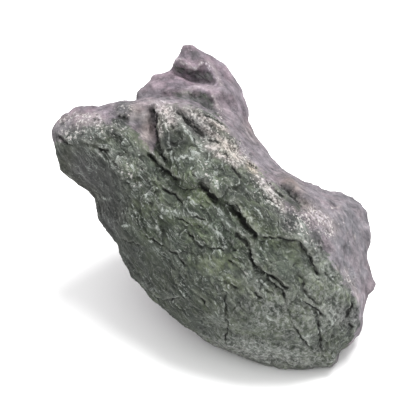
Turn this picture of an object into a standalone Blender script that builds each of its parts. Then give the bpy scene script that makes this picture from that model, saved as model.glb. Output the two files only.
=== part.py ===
"""A seiryu stone: one weathered, layered limestone rock that rests on a flat patch of its underside.

The broad broken face leans back, and all listed points are given in that face's own frame, in
millimetres: a to the right, b up the slope of the face, c straight out of it. A cage through those points
gives the main forms, a remesh rounds it as weather does, and relief adds the lumps, layers and ledges.
"""

import math

import bmesh
import bpy
import numpy as np
from mathutils import Matrix, Vector, geometry, noise

MM = 0.001

# The broad face looks this far above the horizon.
FACE_ELEVATION = math.radians(35)
# Where the face frame's origin lies, in metres, above and beside the middle of the resting patch.
FACE_ORIGIN = Vector((-0.0026, -0.0182, 0.0708))

GRAIN = 1.6  # mm, edge length of the remeshed surface
ROUNDING_STEPS = 3  # smoothing passes, each rounding the arrises a little more
SWELL = 0.9  # mm, put back after the smoothing has shrunk the arrises
TRIANGLES = 9600

# Weights that keep the triangles small on the broad face: the lower one is thinned out less.
COARSE = 1.0
FINE = 0.9
FINENESS = 1.0

# The layers of the rock dip away to the left of the face, and break off in small steps.
LAYER_NORMAL = Vector((0.30, 0.30, 0.90)).normalized()
LAYER_TRACE = Vector((0.62, -0.74, 0.26)).normalized()
LAYER_THICKNESS = 8.0
LAYER_STEP = 1.0

# Chips broken out of the surface: size of a facet, and how far its rim stands from its middle on the front
# and on the back, in mm.
CHIPS = [(13.0, 0.96, 1.3), (30.0, 0.0, 5.0)]
CHIP_STRETCH = 1.8
CHIP_EDGE = 0.12
BACK_BLEND = 0.4  # the back's chips are full where the surface faces away by this much
FLOOR_FADE = 14.0  # mm, height over which the chips fade out towards the resting patch

# Edge of the stone as it is seen straight on to the broad face, from the nose down and round to the right.
RIM = [
    (-87.5, 42.5, -2), (-85.5, 35.5, -4), (-83.5, 29.5, -5), (-83.5, 24, -6), (-80.5, 20, -7),
    (-75.5, 17, -8), (-70, 12.5, -9), (-63.5, 6.5, -10), (-62.5, -4, -10), (-56.5, -11, -10),
    (-51, -16.5, -10), (-49.5, -24, -9), (-46.5, -30.5, -9), (-43, -37, -9), (-37.5, -41, -9),
    (-32.5, -46.5, -9), (-26.5, -52.5, -10), (-19.5, -58.5, -10), (-13, -64, -10),
    (-7.5, -67, -9), (-0.5, -72.5, -8), (7, -77, -6), (17, -80, -4), (26.5, -83.5, -2),
    (38.5, -87, 0), (49, -88, 2), (58.5, -86.5, 3), (67, -86.5, 2), (70.5, -83.5, 0),
    (71.5, -77, -2), (78, -74, -6), (82, -68.5, -8), (84, -60, -9), (85.5, -51, -9),
    (86.5, -47, -8), (90.5, -45, -8), (92, -41.5, -9), (90.5, -36, -12), (87.5, -29, -16),
    (88, -21.5, -20), (89.5, -12.5, -24), (88.5, -3, -28), (86, 4.5, -32), (80.5, 7, -34),
    (73.5, 9.5, -36), (64.5, 11.5, -38), (56.5, 14.5, -38), (49, 18, -38), (41, 23.5, -38),
    (34.5, 30, -40), (29, 39.5, -44), (22.5, 50.5, -48), (21, 59.5, -50), (18.5, 68, -52),
    (14, 76, -53), (9.5, 83, -53), (4.5, 87.5, -52), (-2.5, 91, -49), (-8.5, 95, -45),
    (-12.5, 96.5, -42), (-16, 94.5, -40), (-18.5, 88.5, -39), (-22, 82.5, -40), (-25, 79.5, -41),
    (-28.5, 79, -38), (-34, 77.5, -34), (-38, 71.5, -30), (-41.5, 67.5, -27), (-41.5, 62.5, -22),
    (-44, 59.5, -10), (-47.5, 60, -4), (-55.5, 58.5, -3), (-62.5, 57.5, -4), (-69.5, 57, -4),
    (-75, 57, -4), (-79.5, 54, -3), (-84.5, 49.5, -2),
]

# Edges and creases of the visible side. Each is a line that the surface follows.
FRONT_LINES = {
    "crest of the broad face": [
        (-81, 47.5, 4), (-73.5, 49.5, 7), (-65.5, 50, 9), (-57.5, 52.5, 9), (-51.5, 54.5, 7),
        (-47, 55.5, 6), (-41.5, 55.5, 6), (-35, 57.5, 7), (-28.5, 57.5, 10), (-20.5, 58, 12),
        (-14, 57.5, 13), (-7.5, 55, 14), (-1, 51.5, 15), (5.5, 46.5, 17), (12, 38.5, 20),
        (17, 31, 22), (22.5, 23.5, 24), (29, 16, 26), (35.5, 7.5, 27), (42.5, 1, 27),
        (50, -2.5, 26), (58.5, -11.5, 26), (66, -23.5, 26), (72, -35.5, 24), (76.5, -44, 20),
        (79.5, -52, 14), (80, -61, 9), (76.5, -69, 6),
    ],
    "gully behind the crest": [
        (-37.5, 62.5, -20), (-31, 63, -24), (-22.5, 63, -26), (-14.5, 62.5, -26), (-8, 60, -24),
        (-1, 56, -21), (5, 50.5, -16), (10.5, 44.5, -10), (16, 36, -3), (21.5, 27.5, 6),
        (26, 21, 14),
    ],
    "brow of the nose": [
        (-83, 40.5, 5), (-76, 42, 10), (-67.5, 40.5, 14), (-59.5, 40.5, 16), (-51, 42, 17),
        (-43, 42, 16), (-36.5, 37, 14),
    ],
    "break under the nose": [
        (-82, 37.5, 6), (-75, 36, 10), (-68, 34, 14), (-61, 32.5, 17), (-56, 29, 19),
        (-50.5, 22.5, 21), (-46, 17.5, 22),
    ],
    "facet beside the cleft, upper edge": [(-43, 49.5, 7.5), (-41, 45, 8.5), (-39, 41, 10)],
    "cleft, floor": [
        (-31.5, 54.5, 2), (-30.5, 49.5, 0.5), (-30.3, 43, 1), (-28.7, 36.5, 5), (-25.5, 29.5, 10),
        (-21, 24, 15),
    ],
    "cleft, right wall": [
        (-28.7, 55.5, 10), (-28.2, 49.5, 12.5), (-28, 43, 13.5), (-26.2, 36.5, 15.5), (-22.5, 31, 19),
    ],
    "long hollow, ridge above": [(-15.5, 55, 15), (-8, 50.5, 17), (-1, 44.8, 18.3), (4.5, 39.5, 19.2)],
    "long hollow, floor": [
        (-17.3, 52, 11), (-13.5, 48.5, 12), (-9, 44.5, 12.5), (-4, 40.5, 14.5), (-1, 38.5, 17),
    ],
    "long hollow, lower edge": [(-19.5, 48.5, 15.5), (-14.5, 43.5, 17.5), (-9, 39, 19), (-4.7, 34, 21)],
    "pocket beside the crest, floor": [(37.5, 14.5, 6), (42.5, 9.5, 11), (47, 5, 14), (51, 1.5, 16)],
    "pocket beside the crest, far side": [(40, 19, 2), (45, 13.5, 11), (50, 8, 16), (54.5, 3, 19)],
    "rear lump, edge": [
        (-35.5, 67, -25), (-30, 66.5, -24), (-23.5, 66.5, -24), (-17, 66.5, -24), (-9, 67.5, -24),
        (-2.5, 67, -23),
    ],
    "hollow under the peak": [
        (-22.5, 79, -43), (-17.5, 77, -44), (-10.5, 74.5, -44), (-3.5, 72.5, -41), (1.5, 70.5, -36),
    ],
    "peak, lower edge": [
        (-20, 84.5, -35), (-15, 83.5, -33), (-10.5, 81.5, -32), (-5, 82, -32), (-1, 80.5, -33),
        (3, 76.5, -33), (6.5, 72, -32),
    ],
    "edge of the rear slope": [(6, 66.5, -23), (2.5, 59.5, -20), (5.5, 52.5, -15), (10.5, 46, -10)],
}

FRONT_POINTS = {
    "left flank": [
        (-79, 30, 3), (-71, 24.5, 6), (-62.5, 18, 8), (-57.5, 23, 13), (-54, 11, 12),
        (-53.5, 1, 8), (-51.5, -7.5, 5),
    ],
    "lower face": [
        (-37.5, 24, 22), (-42, 10.5, 22), (-32, 5.5, 27), (-42, -2.5, 19), (-32, -14, 23),
        (-43.5, -17.5, 10), (-36, -29, 11), (-24, -24.5, 24), (-14, -16, 30), (-21.5, -2.5, 29),
        (-9, 1.5, 32), (2, -6.5, 35), (-2.5, -26.5, 35), (-16, -37.5, 26), (-25.5, -44.5, 14),
        (-5.5, -48, 28), (-11, -57.5, 14), (7.5, -42, 36), (11.5, -25, 38), (22, -33.5, 38),
        (21, -47.5, 38), (8.5, -58.5, 28), (5.5, -71, 10), (24, -73, 20), (21, -61.5, 32),
        (37, -58, 36), (40, -72.5, 24), (48.5, -80.5, 14), (53, -65, 29), (59.5, -76, 17),
        (66, -82, 9), (64, -59, 25), (68, -71.5, 12), (42, -43, 38), (53.5, -48.5, 34),
        (59.5, -38, 32), (67, -46.5, 26), (37, -24, 38), (47.5, -30.5, 35), (29.5, -18, 38),
    ],
    "upper sheet of the broad face": [
        (-2.5, 17.5, 32), (8, 10.5, 37), (16, 5.5, 39), (23.5, -3, 41), (31.5, -10.5, 40),
        (42, -11.5, 37), (49.5, -16.5, 34), (55, -24.5, 31), (-13, 23.5, 26), (-16.5, 29, 23),
        (-23, 41, 18), (-15.5, 36, 19.5), (-7, 30.5, 22), (5.5, 24, 29),
        (16, 15, 33), (24.5, 7, 34), (34.5, -1.5, 33),
    ],
    "rear lump": [
        (-28.5, 75.5, -34), (-21.5, 75.5, -35), (-14.5, 72.5, -33), (-7, 71.5, -32),
        (-1, 69.5, -30),
    ],
    "peak": [(-14, 90.5, -37), (-7, 88.5, -38), (0.5, 85, -42), (7, 78.5, -43)],
    "rear slope": [
        (12.5, 65.5, -34), (14, 56, -30), (17.5, 47.5, -26), (23, 38, -22), (29.5, 27.5, -14),
        (35.5, 20.5, -5),
    ],
    "right face": [
        (60.5, 5.5, 3), (70.5, 3, -3), (79, -1.5, -11), (55, -1, 18), (62.5, -6, 19),
        (70.5, -14, 15), (77.5, -22, 4), (74, -29.5, 13), (80, -36.5, 4), (85, -42, -2),
    ],
}

BACK_POINTS = {
    "back of the nose": [
        (-78, 47, -12), (-70.5, 50, -20), (-62, 53, -24), (-52, 55, -28), (-76, 34, -20),
        (-65.5, 33, -34), (-55, 37, -44), (-63, 16.5, -34), (-52.5, 13.5, -52),
    ],
    "back of the peak": [
        (-11.5, 91.5, -52), (-3, 86, -60), (7, 78.5, -64), (-18, 78, -53), (-9, 73.5, -68),
        (-28.5, 72, -46), (-34.5, 63, -42), (-23.5, 61, -58), (3, 65, -74), (15.5, 60, -64),
        (18, 43, -76), (-6, 47.5, -80), (-24, 41, -70), (-40.5, 46, -50),
    ],
    "back": [
        (-35.5, 23, -72), (-15, 23.5, -86), (9, 23.5, -90), (29.5, 26, -68), (40, 11.5, -72),
        (27.5, 2.5, -90), (3, -0.5, -96), (-24, 2.5, -88), (-44.5, -3.5, -66), (-55, -3.5, -38),
    ],
    "back of the right end": [
        (53, 8, -58), (65.5, 2.5, -62), (78.5, -3, -52), (83.5, -18, -48), (72, -15.5, -78),
        (51.5, -9.5, -86), (81.5, -32.5, -50), (89, -41, -20), (79, -47, -46),
    ],
    "underside of the nose": [(-53, -15, -50), (-48, -28, -56)],
}

# Outline of the resting patch in plan, seen from above: x to the right, y to the back, in mm from the
# face frame's origin. Points inside it lie deeper, so that the flat cut leaves this outline.
PATCH_OUTLINE = [
    (50, -42), (67, -37), (78, -8), (81, 18), (67, 45), (31, 52), (-5, 52), (-31, 46), (-29, 24),
    (-15, 1), (4, -18), (24, -34),
]
PATCH_INSIDE = [(46, -5), (47, 24), (20, 14), (-3, 24), (17, -14)]
PATCH_OUTLINE_DEPTH = 1
PATCH_INSIDE_DEPTH = 5

# Ledges of the broad face, as (a, b) points along the foot of each step. The side to the left of the line's
# direction of travel stands proud. Each has its height in mm.
LEDGES = [
    (3.2, [(-35.5, 33.5), (-31, 28), (-25, 22), (-21, 17.5), (-13.5, 13), (-4, 14), (1, 8), (8.5, 4.5),
           (15.5, -1), (20.5, -8), (25, -15), (33, -15.5), (47, -17.5), (52, -24), (56, -31.5), (60, -38)]),
    (2.2, [(12, -13.5), (17, -16.5), (21.5, -22.5), (25.5, -31), (33, -38.5), (38, -43)]),
    (1.6, [(-12.5, -10.5), (-9, -15), (-6, -18), (-2.5, -20.5)]),
    (1.8, [(-72.5, 37), (-63, 34.5), (-58.5, 32.5), (-54, 27), (-50, 22.5), (-47, 19.5)]),
    (1.4, [(-38.5, -14), (-34, -16.5), (-26.5, -20), (-20, -25), (-14.5, -29.5)]),
    (1.4, [(49.5, -49.5), (54, -53.5), (61, -59.5)]),
    (1.4, [(-28, 14.5), (-20, 8), (-13, 2.5)]),
]
LEDGE_SHARPNESS = 1.0  # mm, half-width of the step itself
LEDGE_REACH = 11.0  # mm, how far the bulge above a ledge and the hollow below it fade out


def face_to_world():
    """Matrix from the face frame, in mm, to the world, in metres."""
    sine, cosine = math.sin(FACE_ELEVATION), math.cos(FACE_ELEVATION)
    turn = Matrix(((1, 0, 0), (0, sine, -cosine), (0, cosine, sine))).to_4x4()
    return Matrix.Translation(FACE_ORIGIN) @ turn @ Matrix.Scale(MM, 4)


def patch_points(outline, depth):
    """Face-frame points of a ring given in plan, this far below the resting plane."""
    to_face = face_to_world().inverted()
    height = -depth * MM
    return [to_face @ Vector((x * MM + FACE_ORIGIN.x, y * MM + FACE_ORIGIN.y, height)) for x, y in outline]


def sheet(rim, lines, points):
    """Triangles of one side: all its points joined, with the rim and the lines kept as edges."""
    places = [Vector(p) for p in rim]
    edges = []
    for line in lines:
        start = len(places)
        places += [Vector(p) for p in line]
        edges += [(i, i + 1) for i in range(start, len(places) - 1)]
    places += [Vector(p) for p in points]
    flat = [p.to_2d() for p in places]
    inside_only = 1
    found = geometry.delaunay_2d_cdt(flat, edges, [list(range(len(rim)))], inside_only, 1e-4)
    triangles, sources = found[2], found[3]
    return places, [[sources[corner][0] for corner in triangle] for triangle in triangles]


def flatten(groups):
    return [point for group in groups.values() for point in group]


def cage_mesh():
    """The stone's main forms: a front and a back sheet that share the rim."""
    patch = patch_points(PATCH_OUTLINE, PATCH_OUTLINE_DEPTH)
    patch_inside = patch_points(PATCH_INSIDE, PATCH_INSIDE_DEPTH)
    front = sheet(RIM, FRONT_LINES.values(), flatten(FRONT_POINTS))
    back = sheet(RIM, [patch], flatten(BACK_POINTS) + patch_inside)
    shape = bmesh.new()
    rim = [shape.verts.new(p) for p in RIM]
    for places, triangles in (front, back):
        corners = rim + [shape.verts.new(p) for p in places[len(RIM):]]
        for triangle in triangles:
            shape.faces.new([corners[i] for i in triangle])
    bmesh.ops.recalc_face_normals(shape, faces=shape.faces)
    mesh = bpy.data.meshes.new("cage")
    shape.to_mesh(mesh)
    shape.free()
    return mesh


def evaluated(mesh, set_up):
    """The mesh after the modifiers that set_up adds to it."""
    helper = bpy.data.objects.new("helper", mesh)
    bpy.context.scene.collection.objects.link(helper)
    set_up(helper)
    graph = bpy.context.evaluated_depsgraph_get()
    result = bpy.data.meshes.new_from_object(helper.evaluated_get(graph))
    bpy.data.objects.remove(helper)
    return result


def round_off(helper):
    """Voxel remesh and smoothing, with the mesh still in millimetres."""
    remesh = helper.modifiers.new("even surface", "REMESH")
    remesh.mode = "VOXEL"
    remesh.voxel_size = GRAIN
    smooth = helper.modifiers.new("worn edges", "SMOOTH")
    smooth.factor = 0.5
    smooth.iterations = ROUNDING_STEPS


def thin_out(helper):
    """Decimation to the triangle budget, which keeps the broad face finer than the back."""
    coarse = helper.vertex_groups.new(name="coarse")
    outward = normals(helper.data)
    for index, out in enumerate(outward):
        coarse.add([index], COARSE if out[2] < 0 else FINE, "REPLACE")
    decimate = helper.modifiers.new("fewer triangles", "DECIMATE")
    decimate.ratio = TRIANGLES / (2 * len(helper.data.polygons))
    decimate.vertex_group = coarse.name
    decimate.vertex_group_factor = FINENESS


def coordinates(mesh):
    flat = np.empty(len(mesh.vertices) * 3)
    mesh.vertices.foreach_get("co", flat)
    return flat.reshape(-1, 3)


def normals(mesh):
    flat = np.empty(len(mesh.vertices) * 3)
    mesh.vertices.foreach_get("normal", flat)
    return flat.reshape(-1, 3)


def ledge_relief(points, line, height):
    """Height of the bulge and hollow that one ledge adds at each point."""
    line = np.array(line, float)
    best = np.full(len(points), np.inf)
    side = np.zeros(len(points))
    along = np.zeros(len(points))
    travelled = 0.0
    for start, end in zip(line[:-1], line[1:]):
        run = end - start
        length = np.hypot(*run)
        run /= length
        offset = points[:, :2] - start
        forward = np.clip(offset @ run, 0, length)
        gap = np.hypot(*(offset - forward[:, None] * run).T)
        nearer = gap < best
        best[nearer] = gap[nearer]
        side[nearer] = np.sign(run[0] * offset[nearer, 1] - run[1] * offset[nearer, 0])
        along[nearer] = travelled + forward[nearer]
        travelled += length
    taper = np.clip(np.minimum(along, travelled - along) / LEDGE_REACH + 0.25, 0, 1)
    step = np.tanh(side * best / LEDGE_SHARPNESS)
    return height / 2 * step * taper * np.exp(-best / LEDGE_REACH)


def layer_relief(point):
    """Sawtooth across the layers, in patches: each layer rises slowly and breaks off sharply."""
    wander = 9.0 * noise.noise(point / 31) + 3.5 * noise.noise(point / 11)
    depth = (point.dot(LAYER_NORMAL) + wander) / LAYER_THICKNESS
    phase = depth % 1.0
    patch = min(max(2.2 * noise.noise(point / 19 + Vector((7, 3, 1))) + 0.35, 0), 1)
    return LAYER_STEP * patch * (min(phase / 0.75, (1 - phase) / 0.25) - 0.5)


def chip_relief(point, size):
    """Flat facets at random tilts, where chips have come away, drawn out along the layers."""
    along = point.dot(LAYER_TRACE)
    place = (point - LAYER_TRACE * along * (1 - 1 / CHIP_STRETCH)) / size
    distances, seeds = noise.voronoi(place)
    tilt = noise.cell_vector(seeds[0] * 17)
    clear_of_edge = min((distances[1] - distances[0]) / CHIP_EDGE, 1)
    return (place - seeds[0]).dot(tilt) * clear_of_edge


def above_floor(points):
    """Height of face-frame points above the resting plane, in mm."""
    upward = np.array(face_to_world())[2] / MM
    return points @ upward[:3] + upward[3]


def lump_relief(point):
    """Broad swells, with smaller knobs and pits on them."""
    swell = 1.2 * noise.noise(point / 24 + Vector((3, 9, 4)))
    knobs = 0.6 * noise.noise(point / 9 + Vector((5, 2, 8)))
    return swell + knobs


def carve(mesh):
    """Moves the surface in or out by the relief."""
    points = coordinates(mesh)
    outward = normals(mesh)
    places = [Vector(p) for p in points]
    faces_out = np.clip(outward[:, 2] * 2, 0, 1) * (points[:, 2] > -8)
    front = np.clip(1 + outward[:, 2] / BACK_BLEND, 0, 1)
    clear_of_floor = np.clip(above_floor(points) / FLOOR_FADE, 0, 1)
    height = np.array([layer_relief(p) + lump_relief(p) for p in places])
    for size, front_height, back_height in CHIPS:
        chips = np.array([chip_relief(p, size) for p in places])
        height += chips * clear_of_floor * (front * front_height + (1 - front) * back_height)
    for rise, line in LEDGES:
        height += ledge_relief(points, line, rise) * faces_out
    points += outward * (height + SWELL)[:, None]
    mesh.vertices.foreach_set("co", points.ravel())
    mesh.update()


def cut_flat(mesh):
    """Cuts the resting patch at floor level and closes it."""
    shape = bmesh.new()
    shape.from_mesh(mesh)
    everything = shape.verts[:] + shape.edges[:] + shape.faces[:]
    cut = bmesh.ops.bisect_plane(
        shape, geom=everything, dist=1e-7, plane_co=(0, 0, 0), plane_no=(0, 0, 1), clear_inner=True
    )
    ring = [item for item in cut["geom_cut"] if isinstance(item, bmesh.types.BMEdge)]
    for vertex in {corner for edge in ring for corner in edge.verts}:
        vertex.co.z = 0.0
    bmesh.ops.dissolve_degenerate(shape, dist=2e-5, edges=ring)
    open_edges = [edge for edge in shape.edges if edge.is_boundary]
    bmesh.ops.holes_fill(shape, edges=open_edges)
    bmesh.ops.triangulate(shape, faces=shape.faces)
    bmesh.ops.recalc_face_normals(shape, faces=shape.faces)
    shape.to_mesh(mesh)
    shape.free()


def rock_material():
    material = bpy.data.materials.new("grey green limestone")
    material.use_nodes = True
    surface = material.node_tree.nodes["Principled BSDF"]
    surface.inputs["Base Color"].default_value = (0.165, 0.175, 0.160, 1)
    surface.inputs["Roughness"].default_value = 0.82
    surface.inputs["Metallic"].default_value = 0.0
    material.diffuse_color = (0.165, 0.175, 0.160, 1)
    return material


def build():
    for old in list(bpy.data.objects):
        bpy.data.objects.remove(old)
    mesh = evaluated(cage_mesh(), round_off)
    carve(mesh)
    mesh = evaluated(mesh, thin_out)
    mesh.transform(face_to_world())
    cut_flat(mesh)
    mesh.name = "stone"
    mesh.materials.clear()
    mesh.materials.append(rock_material())
    stone = bpy.data.objects.new("stone", mesh)
    collection = bpy.data.collections.new("seiryu_stone")
    bpy.context.scene.collection.children.link(collection)
    collection.objects.link(stone)


build()
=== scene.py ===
"""Looks of the seiryu stone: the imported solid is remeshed, given cracks, plates and grain, and painted.

All listed places are in the frame of the broad face, in millimetres: a to the right, b up its slope,
c straight out of it, towards the camera.
"""

import itertools
import math

import bmesh
import bpy
import numpy as np
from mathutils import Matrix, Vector


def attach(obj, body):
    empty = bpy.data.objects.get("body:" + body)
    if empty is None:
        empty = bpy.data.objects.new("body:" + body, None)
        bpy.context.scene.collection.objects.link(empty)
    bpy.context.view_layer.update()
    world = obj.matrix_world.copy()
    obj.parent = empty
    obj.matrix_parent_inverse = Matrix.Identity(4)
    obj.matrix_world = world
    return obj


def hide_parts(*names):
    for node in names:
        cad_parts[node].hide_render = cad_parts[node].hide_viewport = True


MM = 0.001
FACE_ELEVATION = math.radians(35)
FACE_ORIGIN = np.array((-0.0026, -0.0182, 0.0708))

# The camera looks straight on to the broad face.
CAMERA_DISTANCE = 0.86625
CAMERA_LENS = 135
CAMERA_SENSOR = 36
NEAREST_SEEN = 0.01

# Soft light from all round, one large lamp overhead, and a pale floor, in metres and watts.
WORLD_STRENGTH = 1.2
LAMP_PLACE = (0.22, 0.12, 1.1)
LAMP_TARGET = (0, 0, 0.05)
LAMP_SIZE = 0.6
LAMP_POWER = 15.5
FLOOR_REACH = 6.0
FLOOR_COLOUR = (0.93, 0.93, 0.93, 1)
FLOOR_ROUGHNESS = 0.9

CELL = 0.6  # mm, mesh size before thinning out
SOFTENING = 9  # smoothing passes that take the solid's flat triangles away
MOST_TRIANGLES = 192000
WELD = 1e-5  # m, corners of the solid this close are one
FINEST, COARSEST = 0.9, 1.0  # thinning weights of the side towards the camera and of the back
WEIGHT_LEVELS = 10

# Heights above the floor, in mm: below the first the stone stays flat, and relief grows in over the others.
FOOT = 0.25
RELIEF_FROM, RELIEF_FULL = 0.2, 2.2

# Share of a layer's thickness over which its broken edge rises.
RISE = 0.14

# Along a crack, in mm: how far it is felt, how the proud side and the low side fade, and how its ends taper.
CRACK_REACH = 9
PROUD_FADE, LOW_FADE = 4, 3
END_TAPER = (-0.5, 3.0)

# Along a stroke of flecks: how far it is felt, in mm, and its spread as a share of its width.
STROKE_REACH = 14
STROKE_SPREAD = 0.55

# Smoothing passes that tell small hollows and broad valleys from their surroundings.
HOLLOW_ROUNDS, VALLEY_ROUNDS = 5, 40

# Depths, c in mm, over which the listed marks fade out towards the back.
MARKS_END, MARKS_FULL = -66, -56

# Layers: their normal, and the way they run down the broad face.
LAYER_NORMAL = np.array((0.30, 0.30, 0.90))
LAYER_TRACE = np.array((0.62, -0.74, 0.26))

# Cracks and ledges: width, depth, how far the line's left side stands proud, and the line.
CRACKS = {
    "cleft": (1.8, 2.6, 0.9, [
        (-32.5, 56), (-30.5, 54), (-29, 51.5), (-29.5, 45), (-29, 40), (-27.5, 35), (-25.5, 29.5), (-23, 26),
    ]),
    "upper ledge": (1.7, 2.6, 1.2, [
        (-34, 31.5), (-31.5, 28.5), (-28.5, 25.5), (-26, 22.5), (-22.5, 20), (-19.5, 17), (-15, 15),
    ]),
    "hook below the upper ledge": (0.4, 0.7, 0.3, [
        (-16, 14.5), (-17, 12.5), (-14, 11), (-9.5, 11), (-5.5, 11.5),
    ]),
    "main ledge, upper part": (3.3, 3.6, 1.6, [
        (-6.5, 14.5), (-3, 11.5), (-0.5, 8.5), (2, 6.5), (5.5, 4.5),
    ]),
    "main ledge, lower part": (3.0, 3.8, 1.6, [
        (7.5, 4.5), (10.5, 2), (13.5, -1), (16.5, -4), (19, -8), (21.5, -11), (24, -13.5), (26.5, -14.5),
    ]),
    "main ledge, bedding lip": (0.6, 1.0, 0.4, [(11, 4), (14, 2.5), (16, -0.5), (19, -3)]),
    "main ledge, right part": (1.2, 1.8, 0.9, [
        (26, -14.5), (31.5, -14.5), (38.5, -15), (43.5, -16), (47.5, -17), (49.5, -20.5), (53, -24.5),
        (54.5, -28.5), (56, -32.5), (58, -35.5),
    ]),
    "lower ledge, upper part": (2.9, 3.2, 1.2, [
        (11.5, -12), (14.5, -13.5), (17.5, -15.5), (19.5, -18.5), (21, -21.5),
    ]),
    "lower ledge": (1.5, 2.4, 0.9, [
        (20.5, -20.5), (21.5, -25), (23.5, -29), (27, -32), (30, -34), (33.5, -35.5), (37.5, -39), (42, -42),
    ]),
    "lower ledge, branch": (1.0, 1.6, 0.5, [
        (28, -33.5), (30.5, -37), (34, -39.5), (37.5, -42), (39.5, -45.5), (40.5, -49),
    ]),
    "lower ledge, lip": (0.7, 1.0, 0.4, [(17.5, -18.5), (20, -20.5), (22, -23), (24, -25)]),
    "middle crack": (0.8, 1.3, 0.5, [(-12, -10), (-10.5, -13.5), (-8, -16), (-5.5, -19), (-3, -20)]),
    "middle crack, end": (0.3, 0.5, 0.2, [(-3, -20), (1, -20.5), (5, -20.5), (9.5, -22)]),
    "middle crack, tail": (0.8, 1.2, 0.4, [
        (7.5, -24.5), (10.5, -27), (13.5, -29), (16.5, -32), (19, -36.5),
    ]),
    "upright crack": (1.0, 1.8, 0.0, [
        (8.5, -43), (8, -47.5), (8.5, -52), (8, -57.5), (9.5, -63), (8.5, -68), (8.5, -72.5),
    ]),
    "crack above the upright one": (1.1, 1.6, 0.4, [(10.5, -38.5), (13, -40.5), (16.5, -42)]),
    "lower right ledge": (1.0, 1.6, 0.5, [(20, -39), (22, -42.5), (25, -45.5), (29.5, -47.5)]),
    "right crack": (1.1, 1.7, 0.6, [
        (46.5, -33), (49.5, -37.5), (49, -41), (51.5, -45), (55, -48), (58.5, -51),
    ]),
    "right crack, twin": (1.1, 1.7, 0.6, [(47.5, -47.5), (50.5, -49), (54, -51), (58, -53.5), (61, -57)]),
    "right upright crack": (1.3, 2.0, 0.3, [
        (55, -52), (57, -56.5), (58.5, -62), (59, -68), (59.5, -73), (61, -78), (63, -81.5),
    ]),
    "bottom crack": (1.0, 1.6, 0.5, [(41.5, -56), (44.5, -61.5), (47.5, -66), (50.5, -69.5), (54, -74)]),
    "left crack": (0.9, 1.4, 0.5, [
        (-36.5, -12.5), (-33, -15), (-30, -16.5), (-26, -19), (-22, -21.5), (-18, -23.5), (-15.5, -26.5),
        (-12.5, -31),
    ]),
    "left crack, fork": (0.8, 1.2, 0.2, [(-32, -16.5), (-30, -15), (-28.5, -13.5)]),
    "left edge crack": (0.7, 1.2, 0.4, [(-49.5, -16), (-45, -17), (-41, -18), (-36.5, -19)]),
    "foot crack": (1.0, 1.6, 0.6, [(-33, -45), (-30, -48), (-26, -49.5), (-21, -48.5), (-15.5, -46)]),
    "foot crack, second": (0.9, 1.4, 0.5, [(-8, -44.5), (-5.5, -46), (-3, -49), (-1.5, -52)]),
    "nose ledge": (1.3, 2.0, 0.9, [(-70.5, 37), (-66.5, 35.5), (-62, 34), (-58.5, 32.5), (-53.5, 31.5)]),
    "nose ledge, tail": (0.6, 1.2, 0.5, [
        (-58.5, 32.5), (-55.5, 30), (-52.5, 27), (-50, 23.5), (-46.5, 20.5),
    ]),
    "band crack": (0.9, 1.6, 0.6, [(-27, 12.5), (-23, 10), (-19, 8), (-16, 5.5), (-13.5, 1.5)]),
    "band crack, right": (0.6, 1.0, 0.3, [(-8, 2), (-4, 2), (-1.5, 0)]),
    "shelf crack": (0.7, 1.2, 0.4, [(-18, -4), (-14.5, -5), (-11.5, -7), (-8.5, -10)]),
    "shelf crack, right": (0.6, 1.0, 0.3, [(-10.5, -3.5), (-6, -4), (-1, -6)]),
    "short crack": (0.7, 1.0, 0.3, [(-34, 5.5), (-30.5, 2.5)]),
    "crack beside the pocket": (1.1, 1.8, 0.6, [(29, 17), (32, 13.5), (35.5, 10.5), (38, 8), (40.5, 5)]),
    "pocket crease": (0.9, 1.2, 0.5, [(37, 15.5), (41, 11), (44.5, 7), (48, 4), (51, 0.5)]),
    "right edge notch": (1.7, 2.2, 0.2, [(76.5, -48.5), (76.5, -52), (74.5, -56), (72.5, -59)]),
    "right edge notch, lower": (1.4, 1.8, 0.2, [(74, -60), (77, -63.5), (76, -67)]),
    "crack behind the calcite": (0.9, 1.4, 0.3, [(17.5, 26.5), (21, 25), (23.5, 23.5), (27, 21)]),
    "crest back crack": (1.0, 1.4, 0.4, [(-4, 52.5), (-1, 50.5), (3, 48.5), (8, 45)]),
    "crack under the knob": (1.2, 1.5, 0.8, [(-51.5, 50.5), (-48.5, 51), (-45, 50), (-43.5, 47)]),
    "arc on the crest": (0.8, 1.1, 0.4, [(-3, 38.5), (0.5, 37.5), (3.5, 37), (6, 34)]),
    "marks on the crest": (0.8, 1.0, 0.3, [(5, 38.5), (7, 36.5)]),
    "marks on the crest, right": (0.8, 1.0, 0.3, [(7.5, 38), (11.5, 36.5)]),
    "edge of the crest": (0.8, 1.0, 0.3, [(10.5, 42), (13, 38.5)]),
    "crack in the ridge": (0.8, 1.1, 0.3, [(-10.5, 40.5), (-8.5, 37.5), (-7.5, 34.5)]),
    "dark run in the sheet": (1.4, 1.2, 0.4, [(11, 24), (13, 20.5), (16, 18), (17.5, 15.5)]),
    "short run in the sheet": (1.0, 1.2, 0.4, [(-10.5, 22), (-9, 18), (-7.5, 15)]),
    "sheet crack": (0.8, 1.2, 0.4, [(24.5, 0.5), (27, -2.5), (30.5, -5)]),
    "nose tip crack": (0.8, 1.0, 0.4, [(-85, 42), (-81.5, 39.5), (-78, 36.5), (-74, 34)]),
}

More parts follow.
